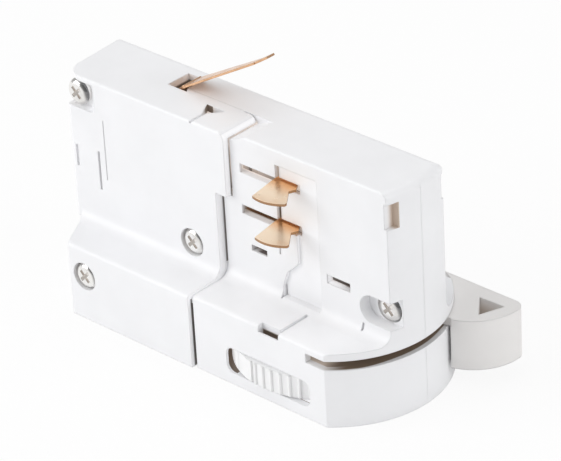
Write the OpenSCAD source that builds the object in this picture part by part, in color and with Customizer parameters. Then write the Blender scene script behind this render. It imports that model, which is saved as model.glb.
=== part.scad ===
// Track light adapter: a two-part housing with a locking lever, a contact drum
// turned by a ribbed selector wheel, and a sprung earth blade on top.
// Frame: origin on the lever's axis at the bottom face, +X towards the round end,
// contacts on the -Y side, +Z up. Millimetres.

/* [Housing] */
// Half width of the upper body that enters the track
upper_half = 9; // [8.8:0.1:9.4]
// Half width of the lower body
lower_half = 20.7; // [20.5:0.1:21.2]
// Overall height of the housing
height = 55.2; // [54.6:0.2:57]
// Radius of the round end
round_r = 25.5; // [25.4:0.1:26.4]
// Distance from the lever's axis to the left end
left_length = 71.6; // [71:0.2:75]
// Wall thickness of the moulded shells
wall = 1.8; // [1.7:0.1:2]

/* [Lever] */
// Thickness of the lever's arm
lever_t = 1.95; // [1.8:0.05:2.1]
// Height of the lever's grip
grip_h = 12.4; // [10:0.2:13]

/* [Contacts] */
// Distance from the top face down to the upper contact plate
contact_drop = 7.5; // [7.3:0.1:7.8]
// Distance between the two contact plates
contact_pitch = 10.2; // [10:0.1:10.4]
// Thickness of the contact plates
contact_t = 0.6; // [0.5:0.1:0.8]

/* [Earth blade] */
// Angle of the earth blade above the top face
blade_angle = 29.6; // [28:0.2:33]
// Length of the earth blade
blade_length = 28.6; // [24:0.2:32]

/* [Hidden] */
$fn = 64;

housing_colour = "#f3f4f7";
lever_colour = "#e6e3df";
copper_colour = "#c8773c";
steel_colour = "#b9bcc0";
brass_colour = "#c9a553";
block_colour = "#d9d9d4";

// Far past every face, for cutting tools
big = 200;
// A small step past a face that a cut opens
over = 0.1;

// Planes of the two housings
parting_y = 0.1;
left_split_y = 6;
lid_drop = 3;
left_end_x = -left_length;
left_slant = 1.5;
left_front_x = left_end_x + left_slant;
left_low_x = left_end_x + 9.2;
left_front = upper_half + 1.7;
left_low = lower_half + 0.7;
seam_gap = 0.9;
seam_clear = 0.3;
rear_start_x = -42.4;
tab_gap = 0.3;
tab_end_r = 1.8;
tab_lip_h = 1.8;
tab_z = height - 15.6;
rim_inset = 2.2;
rim_foot_inset = 0.5;

// Levels
lever_gap = 0.15;
base_h = 14.35;
flange_z = base_h + lever_t + 2 * lever_gap;
ledge_z = flange_z + wall;
cavity_top = height - wall;
gap_start_x = 9.5;

// Edge radii
top_r = 1.8;
front_r = 0.5;
ledge_r = 0.9;
fillet_r = 3;
corner_r = 0.8;
screw_corner_r = 5.2;
low_corner = [1.6, 2.6];
upper_foot_z = ledge_z + fillet_r;

// Selector axis, shaft and bearings
selector_x = -2.6;
shaft_r = 2.4;
shaft_clear = 0.3;
pin_r = 1.8;
running = 0.06;
bearing_r = pin_r + 2;
bearing_gap = 0.3;
pin_low_z = 1;
pin_end_gap = 0.2;
hub_r = 6.6;
hub_plate_r = hub_r + 3;
hub_top_r = 6;
hub_bore_r = shaft_r - selector_x + shaft_clear;

// Locking cam and its window
cam_z = ledge_z + 9.2;
cam_t = 1.6;
cam_reach = 14.2;
cam_start = 17;
cam_span = 10;
cam_ring = 0.6;
cam_gap = 0.3;
cam_window_x = [5.9, 12.6];
hub_end_z = cam_z + cam_t + 0.4;
clip_z = hub_end_z + bearing_gap;
clip_t = 0.6;

// Contact drum, its recess and its slots
drum_r = 6.6;
drum_z = clip_z + clip_t + 0.2;
drum_top = cavity_top - 1.4;
contact_z = height - contact_drop;
slot_below = 1.5;
slot_above = 0.7;
slot_x = [-18.5, -1.5];
slot_relief = 0.8;
slot_relief_y = -upper_half + 0.5;
recess_depth = 0.7;
recess_x = [-7.9, 4];
recess_top_z = height - 3.6;
recess_low_z = ledge_z + 1;
recess_edge = [[recess_x[0], contact_z - 10.2], [-2.4, contact_z - 11.7], [-2.4, ledge_z + 10.6],
    [-5.9, ledge_z + 7.1], [-7.3, ledge_z + 3.3], [-7.3, recess_low_z]];
slit_w = 0.45;
slit_z = ledge_z + 11.2;
foot_slit_z = [ledge_z + 0.6, ledge_z + 3.6];
small_slot_x = [-16.3, -11.7];
small_slot_z = [ledge_z + 9, ledge_z + 10.5];

// Fan outline of a contact plate in its swung-out place
fan_centre = [-4.5, -9.2];
fan_r = 8.4;
fan_reach = norm(fan_centre - [selector_x, 0]) + fan_r;
fan_hub_r = drum_r - 1.4;
fan_neck = [[-6, 1], [-8.7, -7.2], [-8, -11], [-2.2, -11], [-1.5, -9.4], [-3.3, -6.8], [1.2, -3.8]];
fan_blade = [[-8.7, -7.2], [-7, -17.6], [0.9, -17.6], [0.9, -15], [-1.5, -11.9], [-2.2, -11], [-8, -9]];

// Notch and groove on the ledge above the selector window
notch_x = [-4.3, 1.6];
notch_depth = 1.6;
notch_h = 1.7;
notch_lip = 0.35;
groove_x = [1, 1.8];
groove_y = [-lower_half + 0.6, -upper_half - 2];
groove_depth = 0.6;
nick_x = [15.8, 16.3];
nick_z = [ledge_z + 1, ledge_z + 2.8];

// Pocket in the corner of the round end
pocket_x = 23.2;
pocket_y = 6.3;
rear_pocket_y = 8.2;
pocket_z = [height - 8.6, height - 2.6];

// Selector wheel and its window
wheel_r = lower_half + 0.7;
rib_r = 0.4;
rib_pitch = 6.25;
rib_margin = 3;
rib_first = -97;
rib_inset = 0.15;
wheel_first = -142;
wheel_span = 174;
wheel_low = 3.3;
wheel_high = 8.9;
wheel_disc_r = wheel_r - 4.3;
wheel_disc_z = [4.6, 7.6];
wheel_hub_r = 8;
window_gap = 0.4;
window_margin = [1.04, 2];
window_reach = sqrt(pow(wheel_r + rib_r, 2) - pow(lower_half - wall, 2));
window_x = [selector_x - window_reach - window_margin[0], selector_x + window_reach + window_margin[1]];
window_r = 2;
window_lip = 0.6;
window_relief = [1.5, 2.5];
sill_x = [3, 13];
sill_w = 4;
wheel_way = 11.5;

// Ends of the two housings at their seam, past the wheel and the swung contacts
end_margin = 0.5;
right_start_x = selector_x - max(wheel_r + rib_r - end_margin, fan_reach + wall + end_margin);
left_stop_x = right_start_x - seam_gap;
tab_stop_x = right_start_x + 2.4;
tab_lip_x = right_start_x + 7.2;

// Screws: x and z, then head top and tip along Y
screw_head_r = 3.2;
screw_head_h = 1.9;
screw_edge = 1.4;
screw_r = 1.4;
screw_clear = 0.2;
cross_l = 3.4;
cross_w = 0.8;
bore_r = 3.4;
boss_r = 3.9;
rear_boss_r = 2.6;
s1 = [left_end_x + 4.2, height - 4.8];
s2 = [-33.2, upper_foot_z + 2.7];
s3 = [left_low_x + 4.6, 11.2];
s4 = [21.1, ledge_z + 6.9];
s1_head_y = -left_front + 0.3;
s1_pocket_x = left_end_x + 10;
s1_pocket_z = [height - 8.2, height - 1.2];
s1_pocket_r = 1.2;
s1_floor = 1;
s2_head_y = -left_front + 0.1;
s3_head_y = -left_low + 0.1;
s4_head_y = -upper_half + 2.4;
s12_tip_y = 7.6;
s3_tip_y = 10.6;
s4_tip_y = 5.8;
s4_bore_r = 3.4;
s4_boss_r = 4.6;
s4_pocket_x = 18.6;
s4_pocket_y = -upper_half + 3;

// Stem nut in the left end
stem_x = -44;
stem_r = 4.5;
stem_hole_r = 6.6;
nut_flat = 8;
nut_h = 6;
nut_rib_half = 6;
nut_rib_t = 2;

// Terminal block
block_x = [-60, -47];
block_y = [-5, 5];
block_z = [24, 42];
pole_x = [-57.5, -53.5, -49.5];
clamp_size = [3, 6, 7];
clamp_z = 31;
clamp_screw_z = clamp_z + 4.6;
clamp_screw_r = 0.9;
wire_r = 1.2;
shelf_t = 2;
shelf_margin = 0.6;

// Busbars and the ways through the end walls
busbar_y = [-4, -3.2];
busbar_clear = 0.3;
busbar_w = 3;
low_bar_z = max(contact_z - 16.3, s2[1] + boss_r + busbar_clear);
busbar_levels = [[contact_z - 8.7, contact_z - 8.7 + busbar_w], [low_bar_z, low_bar_z + busbar_w]];
busbar_end_x = selector_x - drum_r - 0.4;

// Earth blade
blade_t = 0.5;
blade_bend = 4.6;
bend_angle = 4;
eye_r = 0.45;
blade_y = 2;
root_w = 5.6;
neck_w = 2.8;
tip_w = 2.4;
pivot_x = -42.8;
pivot_z = height + 0.45;
foot_x = block_x[1];
foot_top_z = height - 2.4;
foot_low_z = block_z[0] + 1;
rivet_r = 1;
rivet_head = 0.8;
rivet_head_t = 0.7;
rivet_y = blade_y + 1;
rivet_z = block_z[0] + 3.5;
rivet_depth = 3;
earth_slot_x = -47.2;
earth_slot_y = [-1.2, 5.4];

// Marks on the left cover
snap_slot_x = left_end_x + 10;
snap_slot_z = [27.8, 37.6];
snap_line_x = left_end_x + 12.4;
snap_line_z = [31, 46];
snap_line_depth = 0.12;
edge_slot_x = left_end_x + 3;
edge_slot_z = [31.7, 37.1];
edge_slot_depth = 0.8;
mark_w = 0.6;
step_x = -31.5;
step_y = -6;
step_depth = 0.5;
triangle = [[-33.8, -2.6], [-28.2, -2.8], [-31.6, -6.6]];

// Lever grip seen from above
grip_inner_r = round_r + 0.7;
grip_wedge = [22, 54];
grip_wedge_t = 3;
arm_angles = [22, 57];
ear_c = [21.3, 21.1];
ear_r = 12.2;
ear_back_y = 24.1;
tip_r = 2.5;
tip_y = ear_back_y - tip_r;
tip_c = [ear_c[0] + sqrt(pow(ear_r - tip_r, 2) - pow(tip_y - ear_c[1], 2)), tip_y];
tip_arc = [for (a = [20:20:80]) tip_c + tip_r * [cos(a), sin(a)]];
grip_hole_edge = [[23.6, 20.3], [28.1, 14.6], [30.3, 20.6]];
grip_floor = 1.5;

// Detent leaf
leaf_half = 9;
leaf_t = 0.4;
leaf_z = [4.8, 7.4];
leaf_bump_r = 1.2;

// Flat shapes

// Cross section of a housing in Y and Z: a tall narrow body on a wide low one.
module section(y0, y1, l0, l1, zl, h) {
    translate([l0, 0]) square([l1 - l0, zl - ledge_r]);
    translate([l0 + ledge_r, 0]) square([l1 - l0 - 2 * ledge_r, zl]);
    for (y = [l0 + ledge_r, l1 - ledge_r])
        translate([y, zl - ledge_r]) circle(ledge_r);
    translate([y0, 0]) square([y1 - y0, h - top_r]);
    translate([y0, 0]) square([y1 - y0 - top_r, h - front_r]);
    translate([y0 + front_r, 0]) square([y1 - y0 - front_r - top_r, h]);
    translate([y0 + front_r, h - front_r]) circle(front_r);
    translate([y1 - top_r, h - top_r]) circle(top_r);
    for (side = [[y0, 1], [y1, 0]])
        translate([side[0] - side[1] * fillet_r, zl - over])
            difference() {
                square([fillet_r, fillet_r + over]);
                translate([(1 - side[1]) * fillet_r, fillet_r + over]) circle(fillet_r);
            }
}

// A flat shape in Y and Z pushed along X.
module along_x(x0, x1) {
    translate([x0, 0, 0]) rotate([90, 0, 90]) linear_extrude(x1 - x0) children();
}

// A flat shape in X and Z pushed along Y.
module along_y(y0, y1) {
    translate([0, y1, 0]) rotate([90, 0, 0]) linear_extrude(y1 - y0) children();
}

// A flat shape in X and Y pushed along Z.
module along_z(z0, z1) {
    translate([0, 0, z0]) linear_extrude(z1 - z0) children();
}

module box(x, y, z) {
    translate([x[0], y[0], z[0]]) cube([x[1] - x[0], y[1] - y[0], z[1] - z[0]]);
}

module rod_y(at, r, y0, y1) {
    translate([at[0], y0, at[1]]) rotate([-90, 0, 0]) cylinder(r = r, h = y1 - y0);
}

module rod_z(r, z0, z1) {
    translate([0, 0, z0]) cylinder(r = r, h = z1 - z0);
}

module on_selector() {
    translate([selector_x, 0, 0]) children();
}

// A wedge of a ring about the Z axis.
module ring_sector(r0, r1, a0, a1, z0, z1) {
    translate([0, 0, z0]) rotate([0, 0, a0])
        rotate_extrude(angle = a1 - a0) translate([r0, 0]) square([r1 - r0, z1 - z0]);
}

module front_of(y) {
    intersection() {
        children();
        box([-big, big], [-big, y], [-big, big]);
    }
}

module behind(y) {
    intersection() {
        children();
        box([-big, big], [y, big], [-big, big]);
    }
}

// Right housing

// Round end with a softened top edge.
module round_plan(x0) {
    box([x0, 0], [-big, big], [-1, height + 1]);
    rotate_extrude() {
        square([round_r, height - top_r]);
        square([round_r - top_r, height]);
        translate([round_r - top_r, height - top_r]) circle(top_r);
    }
}

module right_outer(x0) {
    intersection() {
        along_x(x0, round_r + 1) section(-upper_half, upper_half, -lower_half, lower_half, ledge_z, height);
        round_plan(x0);
    }
}

// Inside of one storey of the right housing.
module right_cavity(x0, half, z0, z1) {
    along_z(z0, z1) intersection() {
        union() {
            translate([x0, -half]) square([-x0, 2 * half]);
            circle(round_r - wall);
        }
        translate([x0, -half]) square([big, 2 * half]);
    }
}

// Recess in front of the drum, in X and Z.
module drum_recess() {
    polygon(concat([[recess_x[1], recess_top_z], [recess_x[0], recess_top_z]], recess_edge,
        [[recess_x[1], recess_low_z]]));
}

module selector_window() {
    r = window_r;
    x = window_x;
    z = [wheel_low - window_gap, wheel_high + window_gap];
    translate([x[0] + r, z[0]]) square([x[1] - x[0] - 2 * r, z[1] - z[0]]);
    translate([x[0], z[0] + r]) square([x[1] - x[0], z[1] - z[0] - 2 * r]);
    for (cx = [x[0] + r, x[1] - r], cz = [z[0] + r, z[1] - r])
        translate([cx, cz]) circle(r);
}

// Openings in the front wall: contact slots, slits, cam window, selector window and the small cuts.
module front_openings() {
    through_y = [-upper_half - 1, -upper_half + wall + over];
    for (z = [contact_z, contact_z - contact_pitch]) {
        slot_z = [z - slot_below, z + slot_above];
        box(slot_x, through_y, slot_z);
        box([slot_x[0] - slot_relief, slot_x[1]], [slot_relief_y, through_y[1]], slot_z);
    }
    box(small_slot_x, through_y, small_slot_z);
    along_y(through_y[0], -upper_half + recess_depth) drum_recess();
    box([recess_x[0], recess_x[0] + slit_w], through_y, [slit_z, recess_top_z]);
    box([recess_edge[5][0], recess_edge[5][0] + slit_w], through_y, foot_slit_z);
    box(cam_window_x, through_y, [cam_z - cam_gap, cam_z + cam_t + cam_gap]);
    along_y(-lower_half - 1, -lower_half + wall + over) selector_window();
    box([window_x[0] - window_relief[0], window_x[0] + window_relief[1]],
        [-lower_half + window_lip, -lower_half + wall + over], [wall, wheel_high + window_relief[0]]);
    box(notch_x, [-lower_half - 1, -lower_half + notch_depth], [ledge_z - notch_h, ledge_z + 1]);
    box(notch_x, [-lower_half + notch_lip, -lower_half + wall + over],
        [base_h + bearing_gap, flange_z + over]);
    box(groove_x, groove_y, [ledge_z - groove_depth, ledge_z + 1]);
    box(nick_x, [-big, -upper_half + recess_depth], nick_z);
}

// Pocket in the corner beside the round end's top.
module corner_pocket() {
    box([pocket_x, big], [-big, -pocket_y], pocket_z);
    box([pocket_x, big], [rear_pocket_y, big], pocket_z);
}

module selector_bosses() {
    on_selector() {
        rod_z(bearing_r, over, wheel_low - bearing_gap);
        rod_z(bearing_r, drum_top + bearing_gap, height - over);
    }
}

module right_shell(x0) {
    difference() {
        union() {
            difference() {
                right_outer(x0);
                right_cavity(x0 + wall, lower_half - wall, wall, base_h - wall);
                right_cavity(x0 + wall, lower_half - wall, base_h, flange_z);
                box([gap_start_x, big], [-big, big], [base_h, flange_z]);
                right_cavity(x0 + wall, upper_half - wall, ledge_z, cavity_top);
            }
            selector_bosses();
        }
        rod_z(hub_r + running, base_h, ledge_z + over);
        on_selector() {
            rod_z(shaft_r + shaft_clear, base_h - wall - over, base_h + over);
            rod_z(pin_r + running, pin_low_z - pin_end_gap, wheel_low);
            rod_z(pin_r + running, drum_top, height - pin_low_z + pin_end_gap);
        }
        wheel_passage(x0);
        corner_pocket();
    }
}

// Way for the wheel's rim through the end wall beside the left housing.
module wheel_passage(x0) {
    box([x0 - seam_gap - 1, x0 + wall + over], [-wheel_way, wheel_way],
        [wheel_low - window_gap, wheel_high + window_gap]);
}

// Boss for the screw in the round end, kept inside the outside faces.
module round_end_boss(r) {
    intersection() {
        right_outer(right_start_x);
        rod_y(s4, r, -upper_half, upper_half - over);
    }
}

// Way in for the screw in the round end: a shallow oblong pocket open at the end.
module round_end_pocket() {
    seat_y = s4_head_y + screw_head_h;
    z = [s4[1] - s4_bore_r, s4[1] + s4_bore_r];
    rod_y([s4_pocket_x, s4[1]], s4_bore_r, -big, s4_pocket_y);
    box([s4_pocket_x, big], [-big, s4_pocket_y], z);
    rod_y(s4, s4_bore_r, -big, seat_y);
    rod_y(s4, screw_r + screw_clear, -big, big);
}

module right_front_housing() {
    color(housing_colour) front_of(parting_y) {
        difference() {
            union() {
                right_shell(right_start_x);
                round_end_boss(s4_boss_r);
                box([s4_pocket_x - s4_bore_r - wall / 2, s4[0]],
                    [-upper_half + over, s4_pocket_y + wall / 2], [s4[1] - s4_boss_r, s4[1] + s4_boss_r]);
                seam_rim();
                window_sill();
                box([tab_stop_x, tab_lip_x + wall], [-upper_half + over, parting_y],
                    [height - tab_lip_h - wall, height - wall + over]);
            }
            front_openings();
            round_end_pocket();
            wheel_passage(right_start_x);
            box([-big, tab_stop_x + tab_gap], [-big, big], [tab_z - tab_gap, big]);
            along_y(-big, big) tab_lip();
            along_x(left_stop_x - 1, right_start_x + wall + over) lead_slits();
        }
    }
}

// Sill behind the lower edge of the selector window, under the wheel's rim.
module window_sill() {
    y = -lower_half + wall;
    box(sill_x, [y - over, y + sill_w], [wall - over, wheel_low - bearing_gap]);
}

// Slope from the top face down to the gap beside the tab, in X and Z.
module tab_lip() {
    low_z = height - tab_lip_h;
    polygon([[left_stop_x, low_z], [tab_stop_x + tab_gap, low_z], [tab_lip_x, height],
        [tab_lip_x, height + 1], [left_stop_x, height + 1]]);
}

// Rim that fills the seam towards the left housing: deep below the upright faces, shallow along the foot.
module seam_rim() {
    along_x(left_stop_x, right_start_x + over) {
        intersection() {
            section(-upper_half + rim_inset, upper_half - rim_inset, -lower_half + rim_inset,
                lower_half - rim_inset, ledge_z - rim_inset, height - rim_inset);
            translate([-big, rim_inset]) square([2 * big, tab_z - 2 * rim_inset]);
        }
        intersection() {
            section(-upper_half + rim_foot_inset, upper_half - rim_foot_inset, -lower_half + rim_foot_inset,
                lower_half - rim_foot_inset, ledge_z - rim_foot_inset, height - rim_inset);
            translate([-big, ledge_z - rim_inset]) square([2 * big, fillet_r + rim_inset - rim_foot_inset]);
        }
    }
}

module right_rear_housing() {
    color(housing_colour) behind(parting_y) {
        difference() {
            union() {
                right_shell(right_start_x);
                rear_extension();
                round_end_boss(bore_r);
                rod_y(s2, rear_boss_r, parting_y, upper_half - over);
            }
            rod_y(s4, screw_r, parting_y - 1, s4_tip_y + screw_clear);
            rod_y(s2, screw_r, parting_y - 1, s12_tip_y + screw_clear);
        }
    }
}

// The rear half reaches behind the left cover as far as the earth slot.
module rear_extension() {
    difference() {
        intersection() {
            along_x(rear_start_x, right_start_x + over)
                section(-upper_half, upper_half, -upper_half, upper_half, ledge_z, height);
            box([-big, big], [parting_y, big], [upper_foot_z, big]);
        }
        box([rear_start_x + wall, right_start_x], [-big, upper_half - wall],
            [upper_foot_z + wall, cavity_top]);
    }
}

// Left housing

module left_plan() {
    polygon([[left_stop_x, -left_low], [left_low_x, -left_low],
        [left_front_x + low_corner[0], -left_front], [left_front_x - over, -left_front + low_corner[1]],
        [left_end_x, upper_half], [left_low_x, lower_half], [left_stop_x, lower_half]]);
}

// Plan of the upper body with a slanted left end and a round front corner.
module upper_plan(r) {
    slant = atan2(left_slant, left_front + upper_half);
    c = [left_front_x + r * (1 - sin(slant)) / cos(slant), -left_front + r];
    difference() {
        polygon([[left_front_x, -left_front], [left_end_x, upper_half], [left_stop_x, upper_half],
            [left_stop_x, -left_front]]);
        polygon([c, c - 2 * r * [cos(slant), sin(slant)], c - 2 * r * [1, 1], c - [0, 2 * r]]);
    }
    translate(c) circle(r);
}

module left_outer() {
    corner_z = s1_pocket_z[0];
    intersection() {
        along_x(left_end_x, left_stop_x)
            section(-left_front, upper_half, -left_low, lower_half, ledge_z, height);
        union() {
            along_z(0, upper_foot_z) left_plan();
            along_z(ledge_z, corner_z) upper_plan(corner_r);
            along_z(corner_z - over, height) upper_plan(screw_corner_r);
        }
    }
}

module earth_slot() {
    polygon([[earth_slot_x, earth_slot_y[0]], [earth_slot_x, earth_slot_y[1]],
        [rear_start_x, earth_slot_y[1]], [rear_start_x, parting_y], [rear_start_x + 1, earth_slot_y[0]]]);
}

module left_shell() {
    inner_x = [left_front_x + wall, left_stop_x - wall];
    difference() {
        left_outer();
        box(inner_x, [-left_front + wall, upper_half - wall], [wall, cavity_top]);
        box([left_low_x + wall, inner_x[1]], [-left_low + wall, lower_half - wall], [wall, ledge_z - wall]);
        along_z(cavity_top - over, height + 1) earth_slot();
        box([rear_start_x - seam_clear, big], [parting_y, big], [upper_foot_z - seam_clear, big]);
        translate([stem_x, 0, -1]) cylinder(r = stem_hole_r, h = wall + 2);
        along_x(inner_x[1] - 1, left_stop_x + 1) lead_slits();
    }
}

// Slits that the two busbars pass through, in Y and Z.
module lead_slits() {
    for (z = busbar_levels)
        translate([busbar_y[0], z[0]]) square([busbar_y[1] - busbar_y[0], z[1] - z[0]]);
}

// Screw bosses of the left housing, kept inside the outside faces.
module cover_bosses() {
    intersection() {
        left_outer();
        union() {
            rod_y(s1, boss_r, -big, upper_half - over);
            box([left_end_x, s1_pocket_x + wall], [-left_front, s1_head_y + screw_head_h + s1_floor],
                [s1_pocket_z[0] - s1_floor, height - over]);
            rod_y(s2, boss_r, -big, parting_y);
            rod_y(s3, boss_r, -big, s3_tip_y + 1);
        }
    }
}

module cover_screw_holes() {
    for (s = [[s2, s2_head_y], [s3, s3_head_y]])
        rod_y(s[0], bore_r, -big, s[1] + screw_head_h);
    for (at = [s1, s2, s3])
        rod_y(at, screw_r + screw_clear, -big, left_split_y);
    along_y(-big, s1_head_y + screw_head_h) corner_screw_pocket();
}

// Pocket of the screw at the left corner, open at the end, in X and Z.
module corner_screw_pocket() {
    r = s1_pocket_r;
    z = s1_pocket_z;
    translate([-big, z[0] + r]) square([s1_pocket_x + big, z[1] - z[0] - r]);
    translate([-big, z[0]]) square([s1_pocket_x - r + big, z[1] - z[0]]);
    translate([s1_pocket_x - r, z[0] + r]) circle(r);
}

// Cuts on the left cover's faces: snap slot, step on the top and the triangular hole.
module cover_marks() {
    face = -left_front;
    box([snap_slot_x, snap_slot_x + mark_w], [face - 1, face + wall + over], snap_slot_z);
    box([snap_line_x, snap_line_x + mark_w / 2], [face - 1, face + snap_line_depth], snap_line_z);
    box([edge_slot_x, edge_slot_x + mark_w], [face - 1, face + edge_slot_depth], edge_slot_z);
    box([step_x, step_x + mark_w], [-big, step_y], [height - step_depth, height + 1]);
    along_z(cavity_top - over, height + 1) polygon(triangle);
}

module top_tab() {
    difference() {
        along_x(left_stop_x - over, tab_stop_x)
            section(-left_front, upper_half, -left_front, upper_half, ledge_z, height);
        box([-big, big], [parting_y - tab_gap, big], [-big, big]);
        box([-big, big], [-big, big], [-big, tab_z]);
        box([-big, big], [-left_front + wall, big], [-big, cavity_top]);
        along_y(-big, big) translate([tab_stop_x - tab_end_r, height - tab_end_r]) difference() {
            square(tab_end_r + 1);
            circle(tab_end_r);
        }
    }
}

module left_front_cover() {
    shelf_x = [block_x[0] - shelf_margin, block_x[1] + shelf_margin];
    color(housing_colour) difference() {
        union() {
            left_shell();
            cover_bosses();
            top_tab();
            box(shelf_x, [-left_front + over, left_split_y], [block_z[0] - shelf_t, block_z[0]]);
            nut_rib([-nut_flat - nut_rib_t, -nut_flat]);
        }
        lid_space();
        cover_screw_holes();
        cover_marks();
    }
}

// A rib on the floor beside one flat of the stem nut.
module nut_rib(y) {
    box([stem_x - nut_rib_half, stem_x + nut_rib_half], y, [wall - over, wall + nut_h]);
}

// Where the rear cover sits: everything behind its split, below the top edge.
module lid_space() {
    box([-big, big], [left_split_y, big], [-big, height - lid_drop]);
}

module left_rear_cover() {
    color(housing_colour) intersection() {
        difference() {
            union() {
                left_shell();
                cover_bosses();
                nut_rib([nut_flat, nut_flat + nut_rib_t]);
            }
            rod_y(s1, screw_r, 0, s12_tip_y + screw_clear);
            rod_y(s3, screw_r, 0, s3_tip_y + screw_clear);
        }
        lid_space();
    }
}

// Fasteners

module cross_recess() {
    for (turn = [0, 90])
        rotate([0, 0, turn]) translate([-cross_l / 2, -cross_w / 2, -1]) cube([cross_l, cross_w, 2]);
}

// A pan head screw along Y, its head towards -Y.
module screw(at, head_y, tip_y) {
    translate([at[0], head_y, at[1]]) rotate([-90, 45, 0]) difference() {
        rotate_extrude() {
            translate([0, screw_edge]) square([screw_head_r, screw_head_h - screw_edge]);
            square([screw_head_r - screw_edge, screw_head_h]);
            intersection() {
                translate([screw_head_r - screw_edge, screw_edge]) circle(screw_edge);
                square([screw_head_r, screw_head_h]);
            }
            square([screw_r, tip_y - head_y]);
        }
        cross_recess();
    }
}

module housing_screws() {
    color(steel_colour) {
        screw(s1, s1_head_y, s12_tip_y);
        screw(s2, s2_head_y, s12_tip_y);
        screw(s3, s3_head_y, s3_tip_y);
        screw(s4, s4_head_y, s4_tip_y);
    }
}

module stem_nut() {
    color(steel_colour) translate([stem_x, 0, wall]) difference() {
        cylinder(r = nut_flat / cos(30), h = nut_h, $fn = 6);
        translate([0, 0, -1]) cylinder(r = stem_r, h = nut_h + 2);
    }
}

// Lever and locking cam

// Ear of the grip: part of a disc, cut straight at the back, with a round tip.
module grip_ear() {
    difference() {
        translate(ear_c) circle(ear_r);
        translate([-big, ear_back_y]) square([2 * big, big]);
        polygon(concat([3 * tip_arc[0] - 2 * tip_arc[1]], tip_arc,
            [3 * tip_arc[3] - 2 * tip_arc[2], tip_c + ear_r * [1, 1]]));
    }
}

// Outline of the grip seen from above.
module grip_plan() {
    difference() {
        union() {
            grip_ear();
            intersection() {
                circle(grip_inner_r + grip_wedge_t);
                polygon([[0, 0], for (a = grip_wedge) big * [cos(a), sin(a)]]);
                translate([-big, ear_back_y - 2 * big]) square(2 * big);
            }
        }
        circle(grip_inner_r);
    }
}

module lever() {
    z0 = base_h + lever_gap;
    z1 = z0 + lever_t;
    color(lever_colour) difference() {
        union() {
            rod_z(hub_plate_r, z0, z1);
            ring_sector(1, grip_inner_r + over, arm_angles[0], arm_angles[1], z0, z1);
            along_z(z1 - grip_h, z1) grip_plan();
            rod_z(hub_r, z0, cam_z);
            rod_z(hub_top_r, z0, hub_end_z);
        }
        along_z(z1 - grip_h + grip_floor, z1 + 1) polygon(grip_hole_edge);
        rod_z(hub_bore_r, z0 - 1, height);
    }
}

module locking_cam() {
    color(steel_colour) difference() {
        union() {
            rod_z(hub_top_r + cam_ring, cam_z, cam_z + cam_t);
            ring_sector(1, cam_reach, cam_start, cam_start + cam_span, cam_z, cam_z + cam_t);
        }
        rod_z(hub_top_r, cam_z - 1, cam_z + cam_t + 1);
    }
}

// Selector and contacts

module selector_wheel() {
    rim = [wheel_low, wheel_high];
    rib_last = wheel_first + wheel_span - rib_margin;
    color(lever_colour) on_selector() difference() {
        union() {
            rod_z(wheel_hub_r, rim[0], rim[1]);
            rod_z(wheel_disc_r, wheel_disc_z[0], wheel_disc_z[1]);
            ring_sector(wheel_disc_r - 2, wheel_r, wheel_first, wheel_first + wheel_span, rim[0], rim[1]);
            ring_sector(wheel_r - 1, wheel_r + rib_r, wheel_first + rib_margin, rib_first - rib_margin,
                rim[0] + rib_inset, rim[1] - rib_inset);
            for (a = [rib_first:rib_pitch:rib_last])
                rotate([0, 0, a]) translate([wheel_r, 0, rim[0] + rib_inset])
                    cylinder(r = rib_r, h = rim[1] - rim[0] - 2 * rib_inset);
        }
        rod_z(shaft_r, rim[0] - 1, rim[1] + 1);
    }
}

module selector_shaft() {
    color(steel_colour) on_selector() {
        rod_z(shaft_r, wheel_low, drum_top);
        rod_z(pin_r, pin_low_z, height - pin_low_z);
    }
}

module shaft_clip() {
    color(steel_colour) on_selector() difference() {
        rod_z(shaft_r + 1.5, clip_z, clip_z + clip_t);
        rod_z(shaft_r, clip_z - 1, clip_z + clip_t + 1);
    }
}

module fan() {
    difference() {
        union() {
            on_selector() circle(fan_hub_r);
            polygon(fan_neck);
            intersection() {
                translate(fan_centre) circle(fan_r);
                polygon(fan_blade);
            }
        }
        on_selector() circle(shaft_r);
    }
}

module contact(z) {
    color(copper_colour) along_z(z - contact_t / 2, z + contact_t / 2) fan();
}

module phase_contact() {
    contact(contact_z);
}

module neutral_contact() {
    contact(contact_z - contact_pitch);
}

module contact_drum() {
    color(housing_colour) difference() {
        on_selector() rod_z(drum_r, drum_z, drum_top);
        on_selector() rod_z(shaft_r, drum_z - 1, drum_top + 1);
        for (z = [contact_z, contact_z - contact_pitch])
            along_z(z - contact_t / 2, z + contact_t / 2) fan();
    }
}

// Earth contact

module earth_spring() {
    bend_x = blade_length - blade_bend;
    color(copper_colour) translate([pivot_x, blade_y, pivot_z]) {
        rotate([90, 0, 0]) translate([0, 0, -root_w / 2]) cylinder(r = eye_r, h = root_w);
        rotate([0, -blade_angle, 0]) {
            along_z(-blade_t / 2, blade_t / 2)
                polygon([[0, -root_w / 2], [bend_x, -neck_w / 2], [bend_x, neck_w / 2], [0, root_w / 2]]);
            translate([bend_x, 0, 0]) rotate([0, -bend_angle, 0])
                box([-over, blade_bend], [-tip_w / 2, tip_w / 2], [-blade_t / 2, blade_t / 2]);
        }
    }
}

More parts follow.
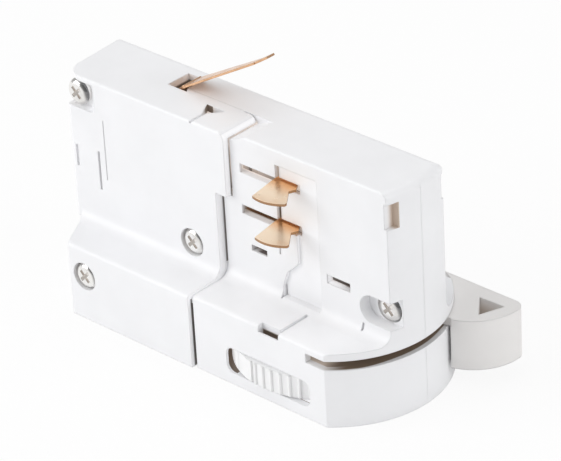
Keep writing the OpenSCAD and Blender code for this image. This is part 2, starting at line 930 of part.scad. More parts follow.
module earth_foot() {
    y = [blade_y - root_w / 2, blade_y + root_w / 2];
    lean = atan2(pivot_z - foot_top_z, pivot_x - foot_x);
    reach = norm([pivot_x - foot_x, pivot_z - foot_top_z]);
    color(copper_colour) difference() {
        union() {
            box([foot_x, foot_x + blade_t], y, [foot_low_z, foot_top_z + blade_t / 2]);
            translate([foot_x, 0, foot_top_z]) rotate([0, -lean, 0])
                box([0, reach], y, [-blade_t / 2, blade_t / 2]);
        }
        translate([pivot_x, 0, pivot_z]) rotate([90, 0, 0])
            translate([0, 0, -big / 2]) cylinder(r = eye_r + running, h = big);
        translate([foot_x - 1, rivet_y, rivet_z]) rotate([0, 90, 0]) cylinder(r = rivet_r, h = 3);
    }
}

module earth_rivet() {
    color(brass_colour) translate([foot_x - rivet_depth, rivet_y, rivet_z]) rotate([0, 90, 0]) {
        cylinder(r = rivet_r, h = rivet_depth + blade_t);
        translate([0, 0, rivet_depth + blade_t]) cylinder(r = rivet_r + rivet_head, h = rivet_head_t);
    }
}

// Terminals and busbars

module terminal_block() {
    color(block_colour) difference() {
        box(block_x, block_y, block_z);
        for (x = pole_x) {
            translate([x - clamp_size[0] / 2, -clamp_size[1] / 2, clamp_z])
                cube([clamp_size[0], clamp_size[1], big]);
            translate([x, 0, block_z[0] - 1]) cylinder(r = wire_r, h = big);
            rod_y([x, clamp_screw_z], clamp_screw_r + screw_clear, -big, 0);
        }
        translate([foot_x - rivet_depth, rivet_y, rivet_z]) rotate([0, 90, 0])
            cylinder(r = rivet_r, h = big);
    }
}

module terminal_clamps() {
    color(brass_colour) for (x = pole_x)
        difference() {
            translate([x - clamp_size[0] / 2, -clamp_size[1] / 2, clamp_z]) cube(clamp_size);
            translate([x, 0, clamp_z - 1]) cylinder(r = wire_r, h = big);
            rod_y([x, clamp_screw_z], clamp_screw_r, -big, 0);
        }
}

module terminal_screws() {
    head_y = block_y[0] + 0.4;
    slit = 0.2;
    color(steel_colour) for (x = pole_x)
        difference() {
            rod_y([x, clamp_screw_z], clamp_screw_r, head_y, -wire_r - 0.4);
            box([x - slit, x + slit], [head_y - 1, head_y + 3 * slit], [clamp_z, clamp_z + big]);
        }
}

module busbar(z) {
    color(copper_colour) box([block_x[1], busbar_end_x], busbar_y, z);
}

module phase_busbar() {
    busbar(busbar_levels[0]);
}

module neutral_busbar() {
    busbar(busbar_levels[1]);
}

// A bent leaf on the rear wall of the base that presses towards the wheel's disc.
module detent_spring() {
    y = lower_half - wall;
    color(steel_colour) along_z(leaf_z[0], leaf_z[1]) on_selector() difference() {
        union() {
            translate([-leaf_half, y - leaf_t]) square([2 * leaf_half, leaf_t]);
            translate([0, y - leaf_t]) circle(leaf_bump_r);
        }
        translate([-big / 2, y]) square([big, big]);
        translate([0, y - leaf_t / 2]) circle(leaf_bump_r - leaf_t);
    }
}

left_front_cover();
left_rear_cover();
right_front_housing();
right_rear_housing();
housing_screws();
lever();
locking_cam();
selector_wheel();
selector_shaft();
shaft_clip();
contact_drum();
phase_contact();
neutral_contact();
earth_spring();
earth_foot();
earth_rivet();
terminal_block();
terminal_clamps();
terminal_screws();
phase_busbar();
neutral_busbar();
stem_nut();
detent_spring();
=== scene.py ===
"""Track light adapter: looks, floor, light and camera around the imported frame."""
import math
import bpy
from mathutils import Matrix, Vector


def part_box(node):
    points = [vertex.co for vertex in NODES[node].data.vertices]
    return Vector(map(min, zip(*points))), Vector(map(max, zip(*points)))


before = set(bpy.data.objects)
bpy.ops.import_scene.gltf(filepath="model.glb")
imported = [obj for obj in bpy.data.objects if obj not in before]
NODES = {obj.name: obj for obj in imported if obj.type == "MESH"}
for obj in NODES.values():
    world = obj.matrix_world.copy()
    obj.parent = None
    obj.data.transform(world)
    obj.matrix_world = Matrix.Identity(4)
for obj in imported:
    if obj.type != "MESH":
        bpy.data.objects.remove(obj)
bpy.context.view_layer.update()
MM = 0.001
scene = bpy.context.scene
scene.view_settings.view_transform = "Standard"


# Shader helpers

def new_tree(name):
    """A material with only an output in its node tree, and that output's surface socket."""
    mat = bpy.data.materials.new(name)
    mat.use_nodes = True
    tree = mat.node_tree
    tree.nodes.clear()
    out = tree.nodes.new("ShaderNodeOutputMaterial")
    return mat, tree, out.inputs["Surface"]


def new_material(name):
    mat, tree, surface = new_tree(name)
    bsdf = tree.nodes.new("ShaderNodeBsdfPrincipled")
    tree.links.new(bsdf.outputs["BSDF"], surface)
    return mat, tree, bsdf


def put(tree, socket, value):
    """Links a socket to a node's output, or sets it to a plain value."""
    if isinstance(value, bpy.types.NodeSocket):
        tree.links.new(value, socket)
    else:
        socket.default_value = value


def calc(tree, op, a, b=0.0):
    node = tree.nodes.new("ShaderNodeMath")
    node.operation = op
    put(tree, node.inputs[0], a)
    put(tree, node.inputs[1], b)
    return node.outputs[0]


def plus(tree, a, b):
    return calc(tree, "ADD", a, b)


def minus(tree, a, b):
    return calc(tree, "SUBTRACT", a, b)


def times(tree, a, b):
    return calc(tree, "MULTIPLY", a, b)


def combine(tree, op, values):
    """One value from several, by an operation on two."""
    result = values[0]
    for value in values[1:]:
        result = calc(tree, op, result, value)
    return result


def least(tree, *values):
    return combine(tree, "MINIMUM", values)


def greatest(tree, *values):
    return combine(tree, "MAXIMUM", values)


def ramp(tree, value, low, high, out_low=0.0, out_high=1.0):
    """Goes smoothly from out_low to out_high as the value goes from low to high, which may be the lesser."""
    node = tree.nodes.new("ShaderNodeMapRange")
    node.interpolation_type = "SMOOTHSTEP"
    for name, v in (("Value", value), ("From Min", low), ("From Max", high),
                    ("To Min", out_low), ("To Max", out_high)):
        put(tree, node.inputs[name], v)
    return node.outputs["Result"]


def mix_colour(tree, fac, a, b):
    node = tree.nodes.new("ShaderNodeMix")
    node.data_type = "RGBA"
    put(tree, node.inputs["Factor"], fac)
    for name, colour in (("A", a), ("B", b)):
        plain = not isinstance(colour, bpy.types.NodeSocket)
        put(tree, node.inputs[name], (*colour, 1.0) if plain else colour)
    return node.outputs["Result"]


def tint_over(tree, mask, tint, colour):
    """Mixes a tint, given as its share and its colour, into a colour where the mask is 1."""
    share, shade = tint
    return mix_colour(tree, times(tree, mask, share), colour, shade)


def place(tree):
    """Position in the row frame at rest, in metres: every piece's object sits at the origin."""
    return tree.nodes.new("ShaderNodeTexCoord").outputs["Object"]


def split(tree, vector):
    """The parts of a vector, as sockets named X, Y and Z."""
    node = tree.nodes.new("ShaderNodeSeparateXYZ")
    tree.links.new(vector, node.inputs[0])
    return node.outputs


def face_normal(tree, output="True Normal"):
    return split(tree, tree.nodes.new("ShaderNodeNewGeometry").outputs[output])


def noise(tree, vector, scale, detail, roughness):
    node = tree.nodes.new("ShaderNodeTexNoise")
    tree.links.new(vector, node.inputs["Vector"])
    node.inputs["Scale"].default_value = scale
    node.inputs["Detail"].default_value = detail
    node.inputs["Roughness"].default_value = roughness
    return node.outputs["Fac"]


BEVEL_SAMPLES = 6


def soft_normal(tree, height, strength, reach, edge):
    """Fine bump, its reach in mm, over an edge that is slightly rounded, its radius in metres."""
    bevel = tree.nodes.new("ShaderNodeBevel")
    bevel.samples = BEVEL_SAMPLES
    put(tree, bevel.inputs["Radius"], edge)
    bump = tree.nodes.new("ShaderNodeBump")
    bump.inputs["Strength"].default_value = strength
    bump.inputs["Distance"].default_value = reach * MM
    tree.links.new(height, bump.inputs["Height"])
    tree.links.new(bevel.outputs[0], bump.inputs["Normal"])
    return bump.outputs[0]


def paint_glow(tree, bsdf, colour, strength):
    """Painted light: a weak emission in the surface's own colour, which lightens shaded places and stands in
    for light through the thin shell.
    """
    tree.links.new(colour, bsdf.inputs["Emission Color"])
    tree.links.new(strength, bsdf.inputs["Emission Strength"])


# Masks by place, 1 inside and 0 outside. Limits, spans and zones are in mm, the position is in metres.

def above(tree, value, level):
    return calc(tree, "GREATER_THAN", value, level * MM)


def below(tree, value, level):
    return calc(tree, "LESS_THAN", value, level * MM)


def all_of(tree, *masks):
    return combine(tree, "MULTIPLY", masks)


def any_of(tree, *masks):
    return greatest(tree, *masks)


def negate(tree, mask):
    return minus(tree, 1.0, mask)


def fade(tree, value, span, out=(0.0, 1.0)):
    """Goes smoothly between two values over a span, which may run down."""
    return ramp(tree, value, span[0] * MM, span[1] * MM, *out)


def in_span(tree, value, span):
    """1 between two limits, where None is no limit."""
    low, high = span
    masks = []
    if low is not None:
        masks.append(above(tree, value, low))
    if high is not None:
        masks.append(below(tree, value, high))
    return all_of(tree, *masks)


def in_zone(tree, xyz, zone):
    """1 inside a box, given by its spans on some axes. Where a zone has a fade, it runs along X."""
    masks = [in_span(tree, xyz[axis], span) for axis, span in zone.items() if axis != "fade"]
    if "fade" in zone:
        masks.append(fade(tree, xyz["X"], zone["fade"]))
    return all_of(tree, *masks)


def distance(tree, a, b, at=(0.0, 0.0)):
    """Distance in a plane between a position's two coordinates and a point in mm."""
    da = minus(tree, a, at[0] * MM)
    db = minus(tree, b, at[1] * MM)
    return calc(tree, "SQRT", plus(tree, times(tree, da, da), times(tree, db, db)))


# Depth below the outside faces, for the painted shade on the inside of the housings. Lengths from here on
# are in mm.

def box_mm(node):
    """Lowest and highest corner of a node at rest."""
    return [[c / MM for c in corner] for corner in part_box(node)]


LEFT_LOW, LEFT_HIGH = box_mm("left_front_cover")
REAR_HIGH = box_mm("right_rear_housing")[1]
ROUND_R = REAR_HIGH[0]
LOWER_HALF = REAR_HIGH[1]
UPPER_HALF = LEFT_HIGH[1]
TOP_Z = LEFT_HIGH[2]
LEDGE_Z = 18.4
LEFT_PLANES = {"front": -10.7, "rear": UPPER_HALF, "low_front": LEFT_LOW[1], "low_rear": LOWER_HALF,
               "left_x": -70.6}
RIGHT_PLANES = {"front": -UPPER_HALF, "rear": UPPER_HALF, "low_front": -LOWER_HALF, "low_rear": LOWER_HALF,
                "left_x": -43.0}
# Slanted faces of the left end's foot: normal in X and Y, and distance from the origin
LOW_SLANTS = ((0.786, -0.618, -61.84), (0.868, 0.495, -64.75))
# Depths between which the painted shade on the inside of a housing sets in
INSIDE_FADE = (1.3, 1.7)


def depth_inside(tree, xyz, front, rear, low_front, low_rear, left_x):
    """How far a point lies inside the two stacked blocks of a housing, in metres."""
    x, y, z = xyz
    round_end = minus(tree, ROUND_R * MM, distance(tree, x, y))
    # Left of its axis, the round end sets no limit
    round_end = greatest(tree, round_end, below(tree, x, 0.0))
    ends = least(tree, round_end, minus(tree, x, left_x * MM))
    depths = []
    for front_y, rear_y, top in ((front, rear, TOP_Z), (low_front, low_rear, LEDGE_Z)):
        sides = least(tree, minus(tree, y, front_y * MM), minus(tree, rear_y * MM, y))
        depths.append(least(tree, sides, z, minus(tree, top * MM, z), ends))
    upper, lower = depths
    for nx, ny, level in LOW_SLANTS:
        along = plus(tree, times(tree, x, nx), times(tree, y, ny))
        lower = least(tree, lower, minus(tree, along, level * MM))
    return greatest(tree, upper, lower)


# Painted shade and painted light. Each function gives a mask of painted shade, its colour, and a painted
# glow.

# Painted light: share of its own colour that a shaded place gives out as a glow, which lightens it. It
# stands in for light through the thin white shell, and each share is chosen to match the photograph.
PAINTED_GLOW_SHADE = 0.22
PAINTED_GLOW_END = 0.17
PAINTED_GLOW_POCKET = 0.12
PAINTED_GLOW_SLOT = 0.42
PAINTED_GLOW_WINDOW = 0.45
PAINTED_GLOW_RECESS = 0.06
PAINTED_GLOW_EDGE = 0.33
PAINTED_GLOW_CHEEK = 0.5

# Colours of painted shade, from unlit to half lit, on insides, gaps, slots, the seam, pockets and holes
UNLIT = (0.20, 0.155, 0.125)
HALF_LIT = (0.76, 0.71, 0.67)
GAP_SHADE = (0.15, 0.11, 0.08)
GAP_LIT = (0.55, 0.48, 0.42)
SMALL_SLOT_SHADE = (0.13, 0.11, 0.105)
WINDOW_LIT = (0.90, 0.87, 0.85)
SLIT_LIT = (0.42, 0.37, 0.33)
SEAM_SHADE_LOW = (0.11, 0.10, 0.095)
SEAM_SHADE_MID = (0.20, 0.185, 0.178)
SEAM_SHADE_TAB = (0.60, 0.57, 0.55)
POCKET_SHADE = (0.46, 0.37, 0.30)
HOLE_SHADE = (0.46, 0.41, 0.37)

TAB_LOW_Z = 53.2
TAB_FOOT_Z = 39.6

# Triangular hole in the top, and the corner of it that gets painted shade
TRIANGLE_HOLE = {"X": (-34.0, -28.0), "Y": (-6.8, -2.4), "Z": (None, 55.1)}
TRIANGLE_CORNER = (-33.8, -2.6)
TRIANGLE_FADE = (3.2, 1.4)

# Left covers: the top screw's corner pocket and the end face towards the seam, kept free of the inside's
# painted shade
CORNER_POCKET = {"X": (None, -61.4), "Z": (46.8, None)}
CORNER_POCKET_FADE = (0.2, 1.2)
SEAM_X = -24.9
END_FACE = {"X": (SEAM_X, None), "Z": (None, TAB_FOOT_Z)}
# Least X of the normal on a face that looks to the seam
FACES_SEAM = 0.7
# Between these heights the seam's painted shade starts only a little further in
DEEPER_SEAM_Z = (LEDGE_Z, TAB_FOOT_Z)
DEEPER_SEAM = 0.16
SEAM_FADE = (0.0, 0.3)
# The seam's step at the ledge stays free of painted shade
SEAM_STEP_Z = (17.2, 21.4)
SEAM_MID_RISE = (17.0, 21.0)
SEAM_TAB_RISE = (50.0, 52.5)
# Walls seen through the contact slots, which get painted half light
SLOT_BACK_X = -32.0
SLOT_BACK_Y = -7.0
SLOT_BACK_RISE = (38.0, 44.0)


def triangle_shade(tree, xyz):
    """Painted shade on the walls near one corner of the triangular hole in the top."""
    off = distance(tree, xyz["X"], xyz["Y"], TRIANGLE_CORNER)
    return all_of(tree, fade(tree, off, TRIANGLE_FADE), in_zone(tree, xyz, TRIANGLE_HOLE))


def seam_shade(tree, xyz):
    """1 where painted shade goes on what lies behind the right housing's outside, at the seam."""
    z = xyz["Z"]
    start = times(tree, in_span(tree, z, DEEPER_SEAM_Z), DEEPER_SEAM * MM)
    behind = minus(tree, depth_inside(tree, xyz, **RIGHT_PLANES), start)
    lit = any_of(tree, in_span(tree, z, SEAM_STEP_Z), above(tree, z, TAB_LOW_Z))
    return all_of(tree, fade(tree, behind, SEAM_FADE), above(tree, xyz["X"], SEAM_X), negate(tree, lit))


def left_inside(tree, xyz):
    """Painted shade on the left covers' inside and end face towards the seam, painted half light, and a
    painted glow.
    """
    x, y, z = xyz
    depth = depth_inside(tree, xyz, **LEFT_PLANES)
    pocket = in_zone(tree, xyz, CORNER_POCKET)
    lit = any_of(tree, pocket, in_zone(tree, xyz, END_FACE))
    own = all_of(tree, fade(tree, depth, INSIDE_FADE), negate(tree, lit))
    dark = any_of(tree, own, seam_shade(tree, xyz), triangle_shade(tree, xyz))

    near_seam = above(tree, x, SEAM_X)
    to_seam = calc(tree, "GREATER_THAN", face_normal(tree)["X"], FACES_SEAM)
    slot_back = all_of(tree, any_of(tree, negate(tree, to_seam), above(tree, y, SLOT_BACK_Y)),
                       above(tree, x, SLOT_BACK_X), fade(tree, z, SLOT_BACK_RISE))
    seam = mix_colour(tree, fade(tree, z, SEAM_MID_RISE), SEAM_SHADE_LOW, SEAM_SHADE_MID)
    seam = mix_colour(tree, fade(tree, z, SEAM_TAB_RISE), seam, SEAM_SHADE_TAB)
    colour = mix_colour(tree, near_seam, UNLIT, seam)
    colour = mix_colour(tree, slot_back, colour, HALF_LIT)

    end = all_of(tree, near_seam, to_seam, negate(tree, dark))
    glow = any_of(tree, times(tree, dark, PAINTED_GLOW_SHADE), times(tree, end, PAINTED_GLOW_END),
                  all_of(tree, pocket, fade(tree, depth, CORNER_POCKET_FADE), PAINTED_GLOW_POCKET))
    return dark, colour, glow


# Right housing: places below the outside faces kept free of painted shade. They are the screw's pocket, the
# lip beside the tab, the sill and rim of the wheel's window, and the hollow in the top corner, which has
# painted shade of its own.
END_POCKET = {"X": (15.0, None), "Z": (21.7, 28.9)}
TOP_LIP = {"X": (-21.4, -16.5), "Z": (TAB_LOW_Z, None)}
WHEEL_SILL = {"X": (2.9, 13.1), "Y": (-19.0, -14.0), "Z": (1.7, 3.1)}
WHEEL_RIM = {"X": (-13.0, 15.0), "Y": (None, -17.0), "Z": (8.6, 9.6)}
TOP_CORNER = {"X": (23.1, 26.0), "Y": (-9.0, -6.0), "Z": (46.5, 52.7)}
TOP_CORNER_FADE = (-8.2, -6.4)
EDGE_FADE = (0.2, 0.5)

# Right housing: narrow openings that get painted shade from close below the outside face
LEVER_GAP = {"Z": (14.2, 16.9), "fade": (12.0, 18.0)}
GAP_MOUTH = {"X": (9.0, 17.0), "Z": LEVER_GAP["Z"], "fade": (16.0, 12.0)}
# The depth at which painted shade starts in the lever's gap grows towards the round end
GAP_TURN_X = (20.0, 24.0)
GAP_START = (0.15, 0.9)
GAP_FADE = 0.4
SLIT = {"X": (-8.05, -7.35), "Z": (29.5, 51.7)}
SLIT_FADE = (0.55, 0.8)
SLIT_LIT_RISE = (47.0, 48.5)
SMALL_SLOT = {"X": (None, -11.6), "Z": (27.3, 29.0), "fade": (-15.9, -14.2)}
SMALL_SLOT_FADE = (0.3, 0.6)
CAM_WINDOW = {"X": (5.0, 13.5), "Z": (26.5, 30.5), "fade": (12.4, 8.0)}

# Contact slots, where painted shade turns to painted half light and the painted glow grows near the top
SLOTS_END_X = -4.0
SLOTS_RISE = (29.0, 44.0)
SLOTS_GLOW_RISE = (40.0, 46.0)

# Shallow recess in front of the drum: its floor, and its wall that faces right, which get a painted glow
RECESS_X = (-7.8, 3.9)
RECESS_RISE = (20.0, 25.0)
RECESS_DEPTH = (0.5, 0.9)
RECESS_WALL = {"X": (-7.6, -2.2), "Z": (19.0, 36.2)}
RECESS_WALL_DEPTH = (0.03, 0.9)
FACES_RIGHT = 0.3


def slot_glow(tree, z):
    """Painted glow behind the contact slots, which stands in for light through the shell."""
    return fade(tree, z, SLOTS_GLOW_RISE, (PAINTED_GLOW_SHADE, PAINTED_GLOW_SLOT))


def right_dark(tree, xyz, depth):
    """1 where painted shade goes: on the right housing's inside and in its narrow openings."""
    corner = in_zone(tree, xyz, TOP_CORNER)
    lit_zones = (END_POCKET, TOP_LIP, WHEEL_SILL, WHEEL_RIM)
    lit = any_of(tree, corner, *(in_zone(tree, xyz, zone) for zone in lit_zones))
    gap_start = times(tree, fade(tree, xyz["X"], GAP_TURN_X, GAP_START), MM)
    gap_end = plus(tree, gap_start, GAP_FADE * MM)
    own = any_of(
        tree,
        fade(tree, depth, INSIDE_FADE),
        all_of(tree, in_zone(tree, xyz, LEVER_GAP), ramp(tree, depth, gap_start, gap_end)),
        all_of(tree, in_zone(tree, xyz, SLIT), fade(tree, depth, SLIT_FADE)),
        all_of(tree, in_zone(tree, xyz, SMALL_SLOT), fade(tree, depth, SMALL_SLOT_FADE)))
    return any_of(tree, all_of(tree, own, negate(tree, lit)),
                  all_of(tree, corner, fade(tree, xyz["Y"], TOP_CORNER_FADE)))


def right_colour(tree, xyz):
    """Colours of painted shade and painted half light in the right housing's dark places, later ones over
    earlier ones.
    """
    slots = all_of(tree, fade(tree, xyz["Z"], SLOTS_RISE), below(tree, xyz["X"], SLOTS_END_X))
    slit_brown = mix_colour(tree, fade(tree, xyz["Z"], SLIT_LIT_RISE), UNLIT, SLIT_LIT)
    colour = mix_colour(tree, in_zone(tree, xyz, LEVER_GAP), UNLIT, GAP_SHADE)
    colour = mix_colour(tree, slots, colour, HALF_LIT)
    for zone, shade in ((GAP_MOUTH, GAP_LIT), (SMALL_SLOT, SMALL_SLOT_SHADE), (CAM_WINDOW, WINDOW_LIT),
                        (SLIT, slit_brown), (TOP_CORNER, POCKET_SHADE)):
        colour = mix_colour(tree, in_zone(tree, xyz, zone), colour, shade)
    return colour


def right_glow(tree, xyz, depth, dark):
    """Painted light on the right housing: a glow in its dark places, on edges and in the drum's recess."""
    x = xyz["X"]
    z = xyz["Z"]
    window = in_zone(tree, xyz, CAM_WINDOW)
    share = any_of(tree, PAINTED_GLOW_SHADE, all_of(tree, slot_glow(tree, z), below(tree, x, SLOTS_END_X)),
                   times(tree, window, PAINTED_GLOW_WINDOW))
    edges = any_of(tree, in_zone(tree, xyz, WHEEL_SILL), in_zone(tree, xyz, WHEEL_RIM), window)
    edges = all_of(tree, edges, fade(tree, depth, EDGE_FADE))
    recess_floor = all_of(tree, in_span(tree, x, RECESS_X), fade(tree, z, RECESS_RISE),
                          in_span(tree, depth, RECESS_DEPTH))
    turned = calc(tree, "GREATER_THAN", face_normal(tree)["X"], FACES_RIGHT)
    recess_wall = all_of(tree, turned, in_zone(tree, xyz, RECESS_WALL),
                         in_span(tree, depth, RECESS_WALL_DEPTH))
    return any_of(tree, times(tree, dark, share), times(tree, edges, PAINTED_GLOW_EDGE),
                  times(tree, recess_floor, PAINTED_GLOW_RECESS), times(tree, recess_wall, PAINTED_GLOW_END))


def right_inside(tree, xyz):
    """Painted shade and painted light on the right housing's inside, narrow openings, edges and recess."""
    depth = depth_inside(tree, xyz, **RIGHT_PLANES)
    dark = right_dark(tree, xyz, depth)
    return dark, right_colour(tree, xyz), right_glow(tree, xyz, depth, dark)


CHEEK_FADE_X = (-12.0, -13.5)


def wheel_inside(tree, xyz):
    """Only a painted glow, which lightens the shade on the wheel's smooth cheek beside the window."""
    return 0.0, UNLIT, fade(tree, xyz["X"], CHEEK_FADE_X, (0.0, PAINTED_GLOW_CHEEK))


DRUM_FADE_Y = (-8.2, -7.0)


def drum_inside(tree, xyz):
    """Painted shade and a painted glow on the drum, which is seen only through the slots."""
    dark = fade(tree, xyz["Y"], DRUM_FADE_Y)
    return dark, HALF_LIT, times(tree, dark, slot_glow(tree, xyz["Z"]))


# Lever's triangular hole: its corners in X and Y, and the heights over which its painted shade sets in
GRIP_HOLE = ((23.6, 20.3), (28.1, 14.6), (30.3, 20.6))
LEVER_TOP_Z = 16.45
HOLE_FADE = (LEVER_TOP_Z - 0.4, LEVER_TOP_Z - 3.5)
HOLE_FOOT_Z = 4.5
HOLE_MARGIN = 0.15


def lever_inside(tree, xyz):
    """Painted shade and a painted glow on the inside of the lever's triangular hole."""
    x, y, z = xyz
    masks = [fade(tree, z, HOLE_FADE), above(tree, z, HOLE_FOOT_Z)]
    for i, (ax, ay) in enumerate(GRIP_HOLE):
        bx, by = GRIP_HOLE[(i + 1) % len(GRIP_HOLE)]
        length = math.hypot(bx - ax, by - ay)
        from_side = plus(tree, times(tree, minus(tree, x, ax * MM), (ay - by) / length),
                         times(tree, minus(tree, y, ay * MM), (bx - ax) / length))
        masks.append(above(tree, from_side, -HOLE_MARGIN))
    mask = all_of(tree, *masks)
    return mask, HOLE_SHADE, times(tree, mask, PAINTED_GLOW_SHADE)


# Painted shade and painted reflections on metal. Each function gives the changed colour, and a painted glow
# or None.

# Contacts: Y over which painted shade by the housing turns pale, and share and colour of painted shade on
# cut edges
PALE_FADE_Y = (-8.8, -13.5)
COPPER_SHADE = (0.80, 0.44, 0.20)
CUT_EDGE_SHADE = (0.92, (0.36, 0.19, 0.09))
# Most Z of the normal on a face that stands upright
UPRIGHT = 0.5


def contact_shade(tree, xyz, colour):
    """Painted shade: deeper copper near the housing, pale at the tips, and brown on the cut edges."""
    colour = mix_colour(tree, fade(tree, xyz["Y"], PALE_FADE_Y), COPPER_SHADE, colour)
    upright = calc(tree, "LESS_THAN", calc(tree, "ABSOLUTE", face_normal(tree)["Z"]), UPRIGHT)
    return tint_over(tree, upright, CUT_EDGE_SHADE, colour), None


# Screws: X and Z of each axis, and Y of the head's face
SCREWS = ((-67.4, 50.4, -10.4), (-33.2, 24.1, -10.6), (-57.8, 11.2, -21.3), (21.1, 25.3, -6.6))
# Cross recess: its radius, and how far below the head's face its painted shade sets in and ends
CROSS_R = 1.85
CROSS_FADE = (0.1, 0.6)
CROSS_END = 1.2
# Direction in X and Z of a head's painted dark reflection, and the turns to it that get it and a painted
# warm shade
RIM_WAY = (0.88, 0.47)
RIM_TURN = (0.25, 0.7)
LOW_TURN = (-0.3, -0.8)
# Most Y of the normal on a face that looks to the front
FACES_FRONT = -0.2
LOW_SHADE = (0.6, (0.62, 0.54, 0.48))
RIM_REFLECTION = (0.85, (0.10, 0.10, 0.105))
CROSS_SHADE = (0.45, (0.42, 0.37, 0.33))


def cross_recess(tree, xyz):
    """1 in the cross recesses of the screws."""
    x, y, z = xyz
    recesses = []
    for screw_x, screw_z, head_y in SCREWS:
        near = below(tree, distance(tree, x, z, (screw_x, screw_z)), CROSS_R)
        start, end = CROSS_FADE
        recesses.append(all_of(tree, near, fade(tree, y, (head_y + start, head_y + end)),
                               below(tree, y, head_y + CROSS_END)))
    return any_of(tree, *recesses)


def screw_shade(tree, xyz, colour):
    """Painted shade and glow in the cross recesses, painted shade on the heads' lower left, a painted dark
    reflection at right.
    """
    recess = cross_recess(tree, xyz)
    nx, ny, nz = face_normal(tree, "Normal")
    turn = plus(tree, times(tree, nx, RIM_WAY[0]), times(tree, nz, RIM_WAY[1]))
    rim = all_of(tree, ramp(tree, turn, *RIM_TURN), calc(tree, "LESS_THAN", ny, FACES_FRONT))
    colour = tint_over(tree, ramp(tree, turn, *LOW_TURN), LOW_SHADE, colour)
    colour = tint_over(tree, rim, RIM_REFLECTION, colour)
    colour = tint_over(tree, recess, CROSS_SHADE, colour)
    return colour, times(tree, recess, PAINTED_GLOW_SHADE)


# Materials. A noise is given by its scale, detail and roughness, a bump by its strength and reach.

PLASTIC_CLOUD = (60.0, 4.0, 0.55)
PLASTIC_FLOW = (420.0, 5.0, 0.6)
PLASTIC_GRAIN = (5200.0, 2.0, 0.5)
PLASTIC_SPAN = (0.3, 0.7)
PLASTIC_ROUGH = (0.34, 0.46)
PLASTIC_BUMP = (0.10, 0.02)
FLOW_HEIGHT = 0.4
CLOUD_SHADE = 0.965
# Most Z of the normal on a face that isn't the top
NOT_TOP = 0.5

METAL_PATCHES = (240.0, 3.0, 0.5)
METAL_PATCH_SPAN = (0.45, 0.75)
METAL_LINE_DETAIL = (4.0, 0.6)
METAL_LINE_SPAN = (0.25, 0.75)
METAL_BUMP = (0.12, 0.01)


def plastic(name, tint, edge=0.35, inside=None, parting_y=None):
    """Satin moulded plastic. inside gives the mask and colour of its painted shade, and its painted glow. On
    the top, edges beside parting_y stay sharp, so that the halves of the housing meet there without a
    groove."""
    mat, tree, bsdf = new_material(name)
    at = place(tree)
    cloudy = noise(tree, at, *PLASTIC_CLOUD)
    flow = noise(tree, at, *PLASTIC_FLOW)
    grain = noise(tree, at, *PLASTIC_GRAIN)
    darker = tuple(c * CLOUD_SHADE for c in tint)
    colour = mix_colour(tree, ramp(tree, cloudy, *PLASTIC_SPAN), darker, tint)
    if inside:
        mask, unlit, glow = inside(tree, split(tree, at))
        colour = mix_colour(tree, mask, colour, unlit)
        paint_glow(tree, bsdf, colour, glow)
    tree.links.new(colour, bsdf.inputs["Base Color"])
    tree.links.new(ramp(tree, flow, *PLASTIC_SPAN, *PLASTIC_ROUGH), bsdf.inputs["Roughness"])
    height = plus(tree, times(tree, flow, FLOW_HEIGHT), grain)
    radius = edge * MM
    if parting_y is not None:
        off = calc(tree, "ABSOLUTE", minus(tree, split(tree, at)["Y"], parting_y * MM))
        side = calc(tree, "LESS_THAN", face_normal(tree)["Z"], NOT_TOP)
        radius = times(tree, any_of(tree, side, above(tree, off, 2 * edge)), radius)
    tree.links.new(soft_normal(tree, height, *PLASTIC_BUMP, radius), bsdf.inputs["Normal"])
    return mat


def metal(name, tint, dull, rough, edge, line_scale, stretch=(1.0, 1.0, 1.0), shade=None):
    """Plated or polished metal with faint drawing lines and dulled patches. shade may paint shade and
    reflections into its colour.
    """
    mat, tree, bsdf = new_material(name)
    bsdf.inputs["Metallic"].default_value = 1.0
    at = place(tree)
    mapping = tree.nodes.new("ShaderNodeMapping")
    mapping.inputs["Scale"].default_value = stretch
    tree.links.new(at, mapping.inputs["Vector"])
    lines = noise(tree, mapping.outputs[0], line_scale, *METAL_LINE_DETAIL)
    patches = noise(tree, at, *METAL_PATCHES)
    colour = mix_colour(tree, ramp(tree, patches, *METAL_PATCH_SPAN), tint, dull)
    if shade:
        colour, glow = shade(tree, split(tree, at), colour)
        if glow:
            paint_glow(tree, bsdf, colour, glow)
    tree.links.new(colour, bsdf.inputs["Base Color"])
    tree.links.new(ramp(tree, lines, *METAL_LINE_SPAN, *rough), bsdf.inputs["Roughness"])
    tree.links.new(soft_normal(tree, lines, *METAL_BUMP, edge * MM), bsdf.inputs["Normal"])
    return mat


WHITE = (0.925, 0.928, 0.945)
PARTING_Y = 0.1
left_white = plastic("left_housing_plastic", WHITE, inside=left_inside)
right_white = plastic("right_housing_plastic", WHITE, inside=right_inside, parting_y=PARTING_Y)
drum_white = plastic("drum_plastic", (0.90, 0.90, 0.905), inside=drum_inside)
wheel_white = plastic("wheel_plastic", (0.94, 0.942, 0.945), inside=wheel_inside)
lever_grey = plastic("lever_plastic", (0.88, 0.863, 0.85), edge=0.6, inside=lever_inside)
block_grey = plastic("block_plastic", (0.80, 0.80, 0.78))

